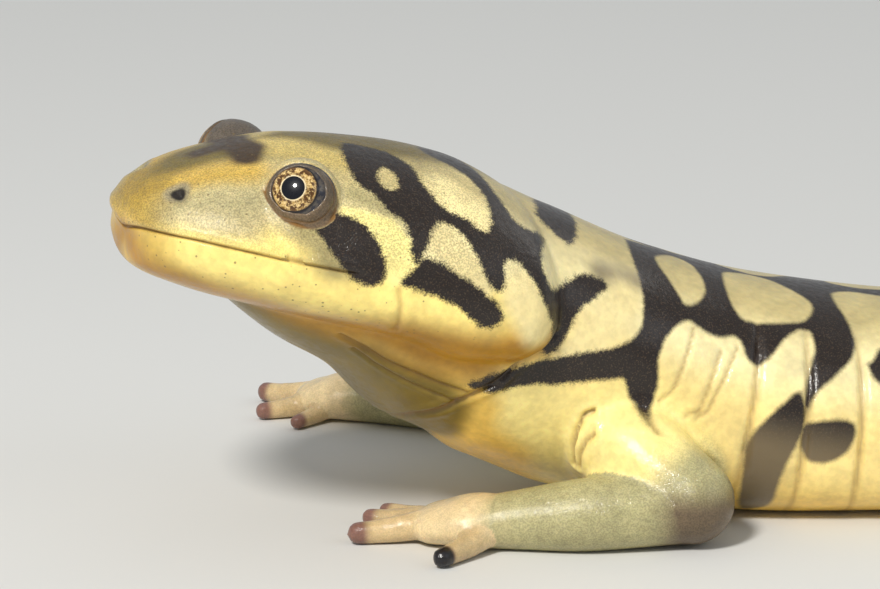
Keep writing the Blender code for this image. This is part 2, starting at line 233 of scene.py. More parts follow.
EYE_MOUND = (9.9, 6.7, 4.6)  # the flesh round the eye, placed as the eye is
EYE_MOUND_RADIUS = 2.8
EYE_AXIS = (0.42, 0.88, 0.2)  # forward, outwards and up: what the lids open towards
GAZE = (0.60, 0.73, 0.31)  # the same for the pupil
EYE_ROWS, EYE_AROUND = 140, 200  # faces of the eyeball from pole to pole and round it
CORNEA = 0.03  # how far it stands out, as a share of the eye's radius
# (turn round the lids' axis, with 0 towards the tail and 90 up; angle from that axis to the edge of
#  the lid, and to the crease behind it)
LIDS = [
    (0, 43, 78),
    (45, 48, 64),
    (90, 50, 57),
    (135, 54, 62),
    (180, 57, 70),
    (225, 43, 58),
    (270, 35, 51),
    (315, 36, 68),
    (360, 43, 78),
]

# Outlines of the dark marks of the left side, as (distance behind the snout, angle)
DARK_MARKS = [
    # from the crown to the corner of the jaw
    [(14.3, 80), (16.2, 75), (17.4, 69), (18.4, 56), (18.5, 45), (19.4, 35), (19.5, 27), (18.7, 24),
     (18.1, 15), (17.6, 14), (16.9, 19), (16.6, 25), (15.6, 28), (14.7, 36), (13.6, 41), (13.3, 54),
     (13.6, 68)],
    # behind and below the eye
    [(9.9, 20), (11, 25), (12.6, 26), (13.8, 23), (14.8, 16), (15.4, 9), (15.5, 2), (14.4, -1),
     (13.1, 1), (11.7, 8), (10.8, 14)],
    # across the back of the jaw
    [(16.4, 2), (17.1, 7), (17.9, 13), (19.2, 12), (20.8, 8), (22.5, 4), (24.1, -1), (24.3, -4),
     (23.7, -8), (22.5, -8), (20.6, -2), (19, 0), (17.5, 1)],
    # down the back of the head
    [(20.5, 95), (23.6, 95), (24.3, 66), (24.5, 48), (25.2, 34), (26.5, 31), (27.7, 34), (28, 29),
     (27, 20), (27.3, 10), (28.5, 6), (29.2, 3), (29.1, -5), (28.1, 0), (26.9, 6), (25.9, 12),
     (24.9, 16), (23.9, 15), (24.1, 5), (23.4, 4), (22.4, 9), (21.4, 18), (20.5, 25), (20.8, 28),
     (22.8, 25), (23.3, 31), (23.3, 46), (22.3, 61), (20.6, 75)],
    # between those two
    [(17, 14), (17, 24), (18.2, 42), (19.1, 37), (19.7, 33), (20.7, 30.5), (21.6, 29.5), (22.2, 22),
     (20.9, 22), (20.3, 24.5), (19.6, 26.5), (18.8, 25.5), (18.2, 21), (18, 12), (17.5, 8)],
    # on the nape
    [(28, 50), (28.4, 62), (29.3, 95), (31.8, 95), (31.4, 60), (30.8, 44), (30.2, 36), (29.4, 38)],
    # on the side of the neck
    [(25.8, 28), (27.8, 35), (28.4, 33), (27.3, 24), (27, 16), (27.9, 9), (28.9, 9), (29.8, 15),
     (31, 22), (32.8, 24), (33.4, 20), (31.8, 9), (31.2, 3), (31, -6), (30.6, -17), (29.2, -17),
     (29, -5), (27.8, 1), (26.6, 8), (26, 16)],
    # over the shoulder and along the ribs
    [(36.4, 95), (35.7, 59), (35.8, 44), (36.5, 24), (36.8, 8), (35.6, -1), (33.3, -9), (30.8, -17),
     (28.3, -24), (25.6, -32), (24, -39), (26.4, -40), (29.6, -31), (32, -27), (34, -21),
     (35.8, -16), (36.8, -13), (37.3, -16), (38.1, -20), (39.8, -20), (39.6, -8), (38.9, -1),
     (38.9, 8), (39.5, 15), (40.5, 22), (41.5, 20), (43.4, 18),
     (44.7, 22), (45.4, 19), (46, 12), (47, 11), (48, 16), (49.1, 26), (50.4, 33), (51.2, 32),
     (51.4, 23), (50.9, 12), (50.7, -3), (51.1, -4), (51.6, 5), (53, 12), (54.2, 19), (54.8, 29),
     (55.7, 28), (55.3, 18), (55.8, 12), (57, 8), (58.3, 12), (59.2, 24), (62, 26), (64, 95)],
    # low on the flank
    [(50.4, 6), (51.1, -2), (51.1, -10), (50.7, -17), (50.2, -26), (50.4, -44), (49, -53),
     (48.2, -44), (47.6, -30), (47.2, -19), (47.9, -10), (49, -2)],
    [(50.9, -7), (52, -5), (53.7, -3), (54.7, -4), (54.8, -10), (54.2, -16), (52.9, -20), (51.6, -20),
     (50.9, -15)],
]
# Outlines of the pale spots within them
PALE_SPOTS = [
    [(15.3, 44), (15.6, 51), (16.3, 54), (16.8, 47), (16.5, 40), (15.9, 39)],
    [(38.3, 68), (40.2, 83), (41.6, 77), (42.1, 58), (42.2, 44), (41.4, 34), (40.3, 29), (39.6, 36),
     (38.8, 46), (38.2, 56)],
    [(44.6, 80), (47, 89), (48.9, 85), (50.3, 71), (51.6, 57), (51.7, 48), (50.8, 38), (49.1, 35),
     (46.8, 32), (45.3, 32), (44.4, 42), (44.2, 58)],
    [(53.8, 76), (55.7, 84), (58, 80), (60.5, 72), (61, 50), (59.8, 36), (57.6, 29), (56.4, 27),
     (55.7, 19), (54.9, 19), (54.6, 32), (54.2, 46), (53.7, 60)],
]

# Folds of the left side: (depth, width, chain of (distance behind the snout, angle))
FOLDS = [
    (0.12, 0.22, [(16.6, 0), (16.9, -5), (17.4, -16)]),
    (0.25, 0.22, [(29.9, -8), (29.2, -16), (28, -22), (26.9, -32), (25.6, -40), (24.4, -47), (23.6, -57),
                  (22.6, -67), (22, -90)]),
    (0.16, 0.16, [(15.1, -36), (16.8, -38), (18.5, -41), (20.4, -41), (22.4, -42), (24.7, -42), (27, -35)]),
    (0.13, 0.14, [(16.4, -42), (18, -46), (20, -47), (22.5, -48), (24.2, -48)]),
    (0.16, 0.17, [(41.2, 19), (41, 1), (40.9, -9), (40.2, -15)]),
    (0.16, 0.17, [(43.7, 13), (43.5, 0), (43.3, -13), (42.5, -16)]),
    (0.16, 0.17, [(45.1, 17), (44.6, 6), (44.2, -3), (43.9, -12), (43.2, -16)]),
    (0.30, 0.15, [(36.6, -48), (35.7, -43), (35.4, -38), (35.3, -32), (35.8, -29)]),
    (0.24, 0.13, [(36.8, -46), (36.2, -42), (36, -37), (36.2, -33)]),
    (0.18, 0.13, [(37.4, -44), (36.9, -40), (36.9, -35)]),
    (0.22, 0.15, [(38.8, -19), (40.4, -20), (42, -21.5), (43.9, -25), (45.4, -29), (46.3, -37)]),
]
# Grooves between the ribs, as distances behind the snout
FIRST_GROOVE, GROOVE_STEP, LAST_GROOVE = 47.0, 4.0, 106.0
HIPS = 108.0  # where the trunk's markings give way to the tail's bars


def smooth_curve(keys):
    """A function through the keys' first column that gives the rest, smooth and with no overshoot."""
    keys = np.array(keys, float)
    at, values = keys[:, 0], keys[:, 1:]
    step = np.diff(at)[:, None]
    slope = np.diff(values, axis=0) / step
    ends = np.zeros_like(values)
    ends[0], ends[-1] = slope[0], slope[-1]
    before, after = slope[:-1], slope[1:]
    one_way = before * after > 0
    both = np.where(one_way, before + after, 1.0)
    ends[1:-1] = np.where(one_way, 2 * before * after / both, 0.0)

    def value(s):
        s = np.clip(np.atleast_1d(np.asarray(s, float)), at[0], at[-1])
        i = np.clip(np.searchsorted(at, s, side="right") - 1, 0, len(at) - 2)
        h = step[i]
        t = (s - at[i])[:, None] / h
        rest = (1 - t) ** 2 * ((1 + 2 * t) * values[i] + t * h * ends[i])
        return rest + t**2 * ((3 - 2 * t) * values[i + 1] - (1 - t) * h * ends[i + 1])

    return value


def ramp(value, low, high):
    """0 below low, 1 above high, and smooth between. With high under low it falls instead."""
    t = np.clip((value - low) / (high - low), 0, 1)
    return t * t * (3 - 2 * t)


def bump(value, middle, width):
    """1 at the middle and near 0 from twice the width away."""
    return np.exp(-(((value - middle) / width) ** 2))


def unit(vectors):
    return vectors / np.linalg.norm(vectors, axis=-1, keepdims=True)


def add_object(name, data):
    obj = bpy.data.objects.new(name, data)
    bpy.context.scene.collection.objects.link(obj)
    return obj


class Spine:
    """The curve that the animal is built round, and the frame that travels along it."""

    STEP = 0.25

    def __init__(self):
        self.s = np.arange(0, LENGTH + self.STEP, self.STEP)
        climb, turn = np.radians(smooth_curve(POSE)(self.s)).T
        self.along = np.stack(
            [np.cos(climb) * np.cos(turn), np.cos(climb) * np.sin(turn), -np.sin(climb)], axis=1
        )
        self.at = np.cumsum(self.along, axis=0) * self.STEP
        self.at += np.array([0, 0, SPINE_HEIGHT]) - self.at[int(TRUNK_MIDDLE / self.STEP)]

    def frame(self, s):
        """The point at a distance behind the snout, and the ways to the tail, left and up there."""
        inside = np.clip(s, self.s[0], self.s[-1])
        at, along = (
            np.stack([np.interp(inside, self.s, column) for column in rows.T], axis=-1)
            for rows in (self.at, self.along)
        )
        along = unit(along)
        side = unit(np.stack([along[..., 1], -along[..., 0], 0 * along[..., 0]], axis=-1))
        return at + along * (s - inside)[..., None], along, side, np.cross(side, along)

    def place(self, s, left, up):
        """World points at a distance behind the snout, to the left of the spine and above it."""
        s, left, up = np.broadcast_arrays(*(np.asarray(v, float) for v in (s, left, up)))
        at, _, side, rise = self.frame(s)
        return at + side * left[..., None] + rise * up[..., None]

    def find(self, points):
        """(s, left, up) of world points: the reverse of place."""
        s = np.interp(points[:, 0], self.at[:, 0], self.s)
        for _ in range(10):
            at, along, *_ = self.frame(s)
            s = s + ((points - at) * along).sum(axis=1)
        at, _, side, rise = self.frame(s)
        return s, ((points - at) * side).sum(axis=1), ((points - at) * rise).sum(axis=1)


def ring(section, around):
    """(left, up) of points round one cross-section, from the left side over the back."""
    half_width, top, bottom, widest, upper, lower = section
    turn = np.linspace(0, 2 * math.pi, around, endpoint=False)
    over = np.sin(turn) >= 0
    power = 2 / np.where(over, upper, lower)
    reach = np.where(over, top - widest, widest - bottom)
    left = half_width * np.sign(np.cos(turn)) * np.abs(np.cos(turn)) ** power
    up = widest + reach * np.sign(np.sin(turn)) * np.abs(np.sin(turn)) ** power
    return left, up


def loft_rings(spine, table, stations, around):
    """Rings of the cross-sections of a table, at those distances behind the snout."""
    section = smooth_curve(table)
    return [spine.place(s, *ring(section(s)[0], around)) for s in stations]


def limb_rings(joints, around, steps, bends=(15, 30, 45, 60, 75, 85)):
    """Rings round a smooth path through joints (x, y, z, half width, half height), its ends rounded."""
    keys = [(i, *joint) for i, joint in enumerate(joints)]
    rows = smooth_curve(keys)(np.linspace(0, len(joints) - 1, steps))
    centre, size = rows[:, :3], rows[:, 3:]
    along = unit(np.gradient(centre, axis=0))
    side = unit(np.cross(along, (0, 0, 1)))
    rise = np.cross(side, along)
    turn = np.linspace(0, 2 * math.pi, around, endpoint=False)[:, None]

    def section(i, bend):
        """The ring at a row, or, where it bends, one on the dome that closes that end."""
        hub = centre[i] + along[i] * size[i].mean() * math.sin(bend)
        wide, high = size[i] * math.cos(bend)
        return hub + np.cos(turn) * side[i] * wide + np.sin(turn) * rise[i] * high

    dome = [math.radians(bend) for bend in bends]
    start = [section(0, -bend) for bend in reversed(dome)]
    return start + [section(i, 0) for i in range(steps)] + [section(-1, bend) for bend in dome]


def ball_rings(centre, radius, around, rows):
    """Rings of a ball, from its -X pole to its +X pole."""
    turn = np.linspace(0, 2 * math.pi, around, endpoint=False)[:, None]
    rings = []
    for bend in np.linspace(0, math.pi, rows + 1)[1:-1]:
        round_it = np.hstack([0 * turn, np.cos(turn), np.sin(turn)]) * math.sin(bend)
        rings.append(centre + radius * (round_it - np.array([math.cos(bend), 0, 0])))
    return rings


def digit_joints(root_x, root_y, tip_x, tip_y, radius):
    """A toe that slopes down from the palm and lies along the floor, thinning towards its tip."""
    joints = []
    for t, height, size in ((0.0, 1.5, 1.15), (0.5, 1.05, 1.0), (0.8, 0.9, 0.88), (1.0, 0.85, 0.85)):
        place = root_x + (tip_x - root_x) * t, root_y + (tip_y - root_y) * t
        joints.append((*place, radius * height, radius * size, radius * size))
    return joints


def shells(spine):
    """Rings of each closed shell whose union is the animal's flesh."""
    snout = np.arange(0, 2, 0.1)
    yield loft_rings(spine, HEAD, [*snout, *np.arange(2, HEAD[-1][0], 0.4), HEAD[-1][0]], 160)
    yield loft_rings(spine, BODY, np.arange(NECK_START, LENGTH + 0.25, 0.5), 160)
    s, left, up = EYE_MOUND
    for side in (1, -1):
        yield ball_rings(spine.place(s, side * left, up), EYE_MOUND_RADIUS, 64, 40)
    for joints in LIMBS.values():
        yield limb_rings(joints, 64, 40)
    for joints, digits in FEET.values():
        yield limb_rings(joints, 48, 24)
        for sizes in digits:
            yield limb_rings(digit_joints(*sizes), 32, 24)


def join_loops(bm, loops):
    """Faces from each loop of points to the next."""
    for a, b in zip(loops, loops[1:]):
        for i in range(len(a)):
            j = (i + 1) % len(a)
            bm.faces.new((a[i], a[j], b[j], b[i]))


def fused(spine):
    """One closed skin round all the shells, in millimetres."""
    bm = bmesh.new()
    for rings in shells(spine):
        loops = [[bm.verts.new(p) for p in points] for points in rings]
        join_loops(bm, loops)
        bm.faces.new(loops[0])
        bm.faces.new(loops[-1])
    bmesh.ops.recalc_face_normals(bm, faces=bm.faces)
    mesh = bpy.data.meshes.new("shells")
    bm.to_mesh(mesh)
    bm.free()
    rough = add_object("shells", mesh)
    remesh = rough.modifiers.new("fuse", "REMESH")
    remesh.mode, remesh.voxel_size = "VOXEL", VOXEL
    graph = bpy.context.evaluated_depsgraph_get()
    skin = bpy.data.meshes.new_from_object(rough.evaluated_get(graph))
    bpy.data.objects.remove(rough)
    bpy.data.meshes.remove(mesh)
    return skin


def read_points(mesh, what="co"):
    values = np.empty(len(mesh.vertices) * 3, np.float32)
    mesh.vertices.foreach_get(what, values)
    return values.reshape(-1, 3).astype(float)


def write_points(mesh, points):
    mesh.vertices.foreach_set("co", points.astype(np.float32).ravel())
    mesh.update()


def refine(mesh, chosen):
    """Splits each edge between two chosen points in half, and the faces with them."""
    bm = bmesh.new()
    bm.from_mesh(mesh)
    bm.verts.ensure_lookup_table()
    edges = [e for e in bm.edges if chosen[e.verts[0].index] and chosen[e.verts[1].index]]
    bmesh.ops.subdivide_edges(bm, edges=edges, cuts=1, use_grid_fill=True)
    bm.to_mesh(mesh)
    bm.free()


class Net:
    """The links between a mesh's points, for smoothing."""

    def __init__(self, mesh):
        edges = np.empty(len(mesh.edges) * 2, np.int32)
        mesh.edges.foreach_get("vertices", edges)
        a, b = edges.reshape(-1, 2).T
        self.start, self.end = np.concatenate([a, b]), np.concatenate([b, a])
        self.size = len(mesh.vertices)
        self.count = np.maximum(np.bincount(self.start, minlength=self.size), 1)

    def mean(self, values):
        """Of each point's neighbours."""
        columns = values.reshape(self.size, -1).T
        sums = [np.bincount(self.start, column[self.end], self.size) / self.count for column in columns]
        return np.stack(sums, axis=1).reshape(values.shape)

    def smoothed(self, values, rounds, amount=0.5):
        amount = np.broadcast_to(amount, (self.size,))
        if values.ndim > 1:
            amount = amount[:, None]
        for _ in range(rounds):
            values = values + amount * (self.mean(values) - values)
        return values


def fillet_creases(mesh, net, points):
    """Rounds the inner corners where limbs, jaw and body meet, as stretched skin does."""
    write_points(mesh, points)
    normals = read_points(mesh, "normal")
    hollow = ((net.mean(points) - points) * normals).sum(axis=1) / VOXEL
    weight = net.smoothed(ramp(hollow, 0.02, 0.12), 8)
    weight = np.clip(weight * 3, 0, 1)
    return net.smoothed(points, 14, 0.6 * weight)


def eye_frame(spine, side, towards):
    """The centre of one eye, its axis, and the ways to the tail and up there."""
    s, left, up = EYE
    _, along, out, rise = (v[0] for v in spine.frame(np.array([s])))
    axis = -towards[0] * along + towards[1] * side * out + towards[2] * rise
    return spine.place(s, side * left, up), unit(axis), along, rise


def lid_shape(spine, points, side):
    """Moves the points round one eye to where its lids and the hollow under the eyeball are."""
    centre, axis, along, rise = eye_frame(spine, side, EYE_AXIS)
    upwards = unit(rise - axis * (rise @ axis))
    backwards = np.cross(upwards, axis) * side
    backwards *= np.sign(backwards @ along)
    near = np.linalg.norm(points - centre, axis=1) < 2 * EYE_RADIUS
    offset = points[near] - centre
    distance = np.linalg.norm(offset, axis=1)
    way = offset / distance[:, None]
    angle = np.degrees(np.arccos(np.clip(way @ axis, -1, 1)))
    turn = np.degrees(np.arctan2(way @ upwards, way @ backwards)) % 360
    edge, crease = smooth_curve(LIDS)(turn).T
    edge += 0.6 * np.sin(np.radians(5 * turn)) + 0.5 * np.sin(np.radians(11 * turn + 40))
    lid = EYE_RADIUS + 0.1 - 0.45 * ramp(angle, edge - 1, edge - 6)
    free = ramp(angle, edge, crease + 20) * ramp(distance, 1.0, EYE_RADIUS)
    wanted = lid + (distance - lid) * free - 0.16 * bump(angle, crease, 3)
    wanted -= 0.06 * bump(angle, (edge + crease) / 2 + 2, 2) * ramp(crease - edge, 12, 18)
    # Only what covers the eyeball's outer half is moved
    wanted = np.where(angle > 110, distance, wanted)
    moved = points.copy()
    moved[near] = centre + way * wanted[:, None]
    reach = ramp(distance, EYE_RADIUS + 1.0, EYE_RADIUS + 0.6) * (angle < 100)
    return moved, (near, angle, edge, crease, reach, way @ upwards)


class Places:
    """Where each point of the skin is in the animal's own measures."""

    def __init__(self, spine, points):
        self.s, self.left, self.up = spine.find(points)
        self.radius = np.hypot(self.left, self.up)
        self.angle = np.degrees(np.arctan2(self.up, self.left))
        self.mouth = self.up - smooth_curve(MOUTH)(np.hypot(self.s, self.left))[:, 0]
        # The angle of the same place mirrored to the left side
        self.side = np.where(np.abs(self.angle) > 90, wrapped(180 - self.angle), self.angle)

    def within(self, stations, most):
        """Which points lie no further than the most from a stretch of the spine."""
        return np.flatnonzero((self.s > min(stations) - most) & (self.s < max(stations) + most))

    def away_from(self, s, left, up):
        """How far each point is from a place that both sides have."""
        return np.sqrt((self.s - s) ** 2 + (np.abs(self.left) - left) ** 2 + (self.up - up) ** 2)


def mouth_shape(places):
    """The groove between the lips, the full upper lip and the jaw set back below it."""
    open_to = ramp(places.s, JAW_END + 1.2, JAW_END - 1)
    lips = -0.34 * bump(places.mouth, 0, 0.11) + 0.13 * bump(places.mouth, 0.55, 0.4)
    lips -= 0.16 * ramp(places.mouth, 0.05, -0.1) * ramp(places.mouth, -1.6, -0.3)
    return lips * open_to


def nostril_shape(places):
    """A slit that slants up and back, with a low rim."""
    s, left, up = NOSTRIL
    back, rise = places.s - s, places.up - up
    long_way = (back + rise) / math.sqrt(2) / 0.58
    short_way = (rise - back) / math.sqrt(2) / 0.3
    away = np.hypot(long_way, short_way)
    here = ramp(np.abs(np.abs(places.left) - left), 2.4, 1.4)
    return here * (-0.5 * np.exp(-(away**2)) + 0.05 * bump(away, 1.9, 0.6))


def wrapped(angle):
    """The same angle between -180 and 180."""
    return (angle + 180) % 360 - 180


def mirrored(shapes, shift=0.0):
    """The same strokes or outlines on the right side, further back by the shift."""
    return [[(s + shift, 180 - angle, *radius) for s, angle, *radius in shape] for shape in shapes]


def rounded(outline, rounds=2):
    """The outline with its corners cut off, and those that this leaves cut again."""
    rows = np.array(outline, float)
    for _ in range(rounds):
        after = np.roll(rows, -1, axis=0)
        rows = np.stack([rows * 0.8 + after * 0.2, rows * 0.2 + after * 0.8], axis=1).reshape(-1, 2)
    return rows


def off_line(back, turn, long_back, long_turn):
    """How far points are from the line from 0 to the long ones, and at which share of it."""
    along = back * long_back + turn * long_turn
    share = np.clip(along / (long_back**2 + long_turn**2 + 1e-9), 0, 1)
    return np.hypot(back - share * long_back, turn - share * long_turn), share


def outline_distance(places, outlines, most=3.0):
    """How far each point lies outside the nearest outline, up to a most. Inside one it is negative."""
    found = np.full(len(places.s), most)
    for outline in outlines:
        rows = rounded(outline)
        middle = (rows[:, 1].min() + rows[:, 1].max()) / 2
        near = places.within(rows[:, 0], most)
        s, scale = places.s[near], np.radians(places.radius[near])
        angle = wrapped(places.angle[near] - middle)
        away, inside = np.full(len(near), most), np.zeros(len(near), bool)
        for (s0, a0), (s1, a1) in zip(rows, np.roll(rows, -1, axis=0)):
            a0, a1 = a0 - middle, a1 - middle
            from_line, _ = off_line(s - s0, (angle - a0) * scale, s1 - s0, (a1 - a0) * scale)
            away = np.minimum(away, from_line)
            if s0 != s1:
                crosses = ((s0 > s) != (s1 > s)) & (angle < a0 + (a1 - a0) * (s - s0) / (s1 - s0))
                inside ^= crosses
        found[near] = np.minimum(found[near], np.where(inside, -away, away))
    return found


def stroke_distance(places, strokes, most=6.0):
    """How far each point lies outside the nearest stroke, up to a most. Inside one it is negative."""
    found = np.full(len(places.s), most)
    for stroke in strokes:
        near = places.within([row[0] for row in stroke], most)
        s, angle, scale = places.s[near], places.angle[near], np.radians(places.radius[near])
        for (s0, a0, r0), (s1, a1, r1) in zip(stroke, stroke[1:]):
            away, t = off_line(s - s0, wrapped(angle - a0) * scale, s1 - s0, (a1 - a0) * scale)
            found[near] = np.minimum(found[near], away - (r0 + (r1 - r0) * t))
    return found


def fold_shape(places):
    """How far the folds and the grooves between the ribs raise each point, and how much painted shade lies
    in them.
    """
    raised, shade = np.zeros(len(places.s)), np.zeros(len(places.s))
    on_body = ramp(places.radius, 13.4, 12.8)
    for depth, width, chain in FOLDS:
        thin = [(s, angle, 0.0) for s, angle in chain]
        away = stroke_distance(places, [thin, *mirrored([thin])], 3.0)
        raised += on_body * depth * (0.35 * bump(away, 2.6 * width, 1.6 * width) - bump(away, 0, width))
        shade = np.maximum(shade, on_body * 2.8 * depth * bump(away, 0, 0.8 * width))
    flank = ramp(places.side, 38, 18) * ramp(places.side, -75, -45)
    flank *= places.radius < 13.5
    flank *= ramp(places.s, FIRST_GROOVE - 2, FIRST_GROOVE)
    flank *= ramp(places.s, LAST_GROOVE + 2, LAST_GROOVE)
    phase = (places.s - FIRST_GROOVE + 0.012 * (places.side - 10)) / GROOVE_STEP
    off = np.abs(phase - np.round(phase)) * GROOVE_STEP
    low = ramp(places.side, -38, -20)
    raised += flank * low * (0.18 * bump(off, GROOVE_STEP / 2, 1.1) - 0.42 * bump(off, 0, 0.26))
    return raised, np.maximum(shade, 0.5 * flank * bump(off, 0, 0.2))


# ---------------------------------------------------------------- colours

# Colours of the ground from place to place, from the back down and from the snout backwards
BEIGE = (0.60, 0.49, 0.22)
FLANK = (0.90, 0.78, 0.41)
FLANK_LOW = (0.95, 0.74, 0.28)
# The chest's yellow, made lighter with painted light where the lamp falls on the chest and upper arms
CHEST_LIT = (1.0, 0.82, 0.31)
BELLY = (0.88, 0.58, 0.12)
JAW = (1.0, 0.79, 0.25)
TAN = (0.46, 0.30, 0.045)
OLIVE = (0.18, 0.130, 0.022)
CHEEK = (0.50, 0.43, 0.22)
LIP = (0.60, 0.50, 0.25)
CHEEK_BACK = (0.40, 0.33, 0.14)
BROW = (0.64, 0.49, 0.16)
EYE_CORNER = (0.42, 0.36, 0.17)
CREAM = (0.90, 0.75, 0.36)
SAND = (0.74, 0.62, 0.30)
# The orange of the jaw's lower edge, darkened with painted shade under the jaw's bulge
ORANGE_SHADED = (0.46, 0.22, 0.01)
GOLD = (0.66, 0.44, 0.09)
YELLOW = (0.93, 0.79, 0.30)
BROWN = (0.055, 0.030, 0.010)
HAZE = (0.32, 0.26, 0.14)
GREY = (0.13, 0.105, 0.08)
# The throat's olive yellow, darkened with painted shade from the shadow under the jaw
THROAT_SHADED = (0.20, 0.135, 0.012)
ARM = (0.44, 0.40, 0.20)
# Painted shade on the low side of each elbow and knee
ELBOW_SHADE = (0.15, 0.105, 0.06)
PALM = (0.78, 0.61, 0.34)
DIGIT = (0.62, 0.46, 0.24)
TOE = (0.24, 0.12, 0.09)
BLACK = (0.012, 0.010, 0.012)
LID_UPPER = (0.10, 0.075, 0.05)
LID_LOWER = (0.17, 0.115, 0.065)
# Painted shade inside the nostril and on the walls round it
SHADE = (0.02, 0.014, 0.01)
NOSE_RIM_SHADE = (0.36, 0.30, 0.17)
# Colours of the marks on it
SPECK = (0.16, 0.11, 0.04)
INK = (0.016, 0.010, 0.007)
INK_SPECK = (0.055, 0.036, 0.022)
INK_FADED = (0.17, 0.125, 0.065)
# Painted shade in the grooves: the line of the mouth, the lids' creases and the folds
CREASE_SHADE = (0.24, 0.11, 0.018)
# Colours of the eye
IRIS_DARK = (0.50, 0.30, 0.08)
IRIS = (0.85, 0.64, 0.30)
IRIS_FLECK = (0.09, 0.04, 0.012)
IRIS_OUTER = (0.20, 0.10, 0.03)
IRIS_INNER = (0.10, 0.045, 0.012)
PUPIL_RING = (0.92, 0.78, 0.50)
PUPIL = (0.004, 0.005, 0.009)
BALL_DARK = (0.03, 0.03, 0.04)
BALL = (0.10, 0.085, 0.07)

# Ground colours of both sides of the head and shoulders: (colour, softness, strokes)
ZONES = [
    (OLIVE, 3, [[(0.5, 60, 1.2), (4, 88, 1.8), (10, 92, 2.5), (16, 92, 3), (22, 92, 2)]]),
    (TAN, 2.5, [[(0.2, 60, 1), (0.4, 20, 1), (1.5, 25, 0.5)]]),
    (CHEEK, 2, [[(2.5, 22, 0.8), (5, 20, 1.6), (8, 18, 2), (12, 12, 2)]]),
    (GOLD, 1.6, [[(3, 52, 0.5), (6.5, 52, 0.7)]]),
    (LIP, 1.2, [[(2, 16, 0.2), (6, 12, 0.7), (10, 10, 1), (14, 7, 0.7)]]),
    (BROW, 1.5, [[(8.5, 78, 0.8), (11, 66, 1), (13, 58, 0.6)]]),
    # the throat and the underside of the chin, with painted shade under the jaw
    (THROAT_SHADED, 2, [[(6, -60, 2), (16, -58, 4), (22, -60, 3.4), (24, -68, 2)],
                   [(8, -90, 2.5), (15, -90, 4), (21.5, -90, 4)]]),
    (JAW, 1.2, [[(0.2, -30, 1), (3, -8, 2), (8, -6, 2.4), (14, -6, 3), (21, -12, 3.4),
                 (27, -8, 2.5)]]),
    (GOLD, 2, [[(0.3, -8, 0.5), (1.5, -24, 0.6), (4, -24, 0.2)]]),
    # the jaw's orange lower edge, with painted shade under its bulge
    (ORANGE_SHADED, 2.4, [[(0.8, -42, 0.4), (3, -28, 0.4), (6.6, -25, 0.5), (11.3, -29, 0.7), (16, -25, 0.8)],
                   [(14, -25, 0.5), (18, -22, 1.2), (21, -23, 1.6), (24, -22, 1.6), (27, -15, 1.2),
                    (28.5, -10, 0.8)]]),
    # painted light on the chest
    (CHEST_LIT, 2.2, [[(28.6, -34, 0.8), (31, -40, 2), (36.5, -42, 2.4)]]),
    (HAZE, 1.3, [[(32.5, 27, 0.3), (34.6, 28, 0.6), (35.8, 32, 0.3)]]),
    (CHEEK_BACK, 1.6, [[(9.8, 14, 0.5), (12, 7, 0.7)]]),
    (CREAM, 1.3, [[(25.6, 4, 1.2), (27.3, -4, 1.2)]]),
    (EYE_CORNER, 1, [[(13.2, 36, 0.3), (15, 32, 0.5), (16.6, 27, 0.4)]]),
    (YELLOW, 0.5, [[(12.6, 27, 0.2), (14, 24, 0.5), (15.2, 20, 0.9), (16.5, 12, 1), (16.2, 6, 0.7)]]),
    (CREAM, 1.2, [[(20, 43, 1), (21.6, 33, 1.2), (22.4, 28, 0.8)]]),
    (SAND, 1.2, [[(19.3, 20, 0.8), (20.6, 13, 0.9), (22.2, 6, 0.6)]]),
    (CREAM, 1.5, [[(34.9, 18, 0.9), (33.2, -2, 1.2), (31.9, -13, 0.7)]]),
    (BROWN, 0.8, [[(4.6, 88, 0.4), (6.8, 92, 0.9), (7.3, 76, 1), (6.9, 64, 0.7)]]),
]

# The same for the right side alone
RIGHT_ZONES = [
    (GREY, 1.4, [[(8, 132, 0.8), (9.8, 130, 1), (11, 132, 0.5)]]),
]

# Colours along each leg: (colour, where it begins, where it is full), as limb_places counts
LIMB_COLOURS = [
    # the upper legs take the chest's yellow with its painted light
    (CHEST_LIT, -1, 0),
    (ARM, 0.7, 0.95),
    (PALM, 1.9, 2.4),
    (DIGIT, 2.9, 3.3),
    (TOE, 3.7, 3.95),
]

# Dark patches of the legs: (one end, other end, radius), each end as (x, y, height)
LEG_MARKS = [
    ((32.5, -9, 9.5), (28.5, -13, 7.5), 1.4),
    ((26, -17, 6), (28.6, -18.4, 6), 0.8),
    ((30.6, -19.2, 5.6), (33.4, -21.6, 4.4), 0.6),
    ((36.5, 8, 9.8), (32.5, 13.2, 8), 1.5),
    ((30.2, 16.2, 6.6), (33.6, 18.2, 6), 0.9),
    ((35.8, 18.2, 5.6), (38.8, 20.8, 4.4), 0.7),
    ((-44, 8.5, 10.5), (-43, 13, 8.5), 1.4),
    ((-46, 17.2, 5.6), (-50, 19.2, 5), 1),
]


def mixed(ground, colour, share):
    """The ground with a share of a colour in it, from 0 to 1 for each point."""
    return ground + (np.array(colour) - ground) * share[:, None]


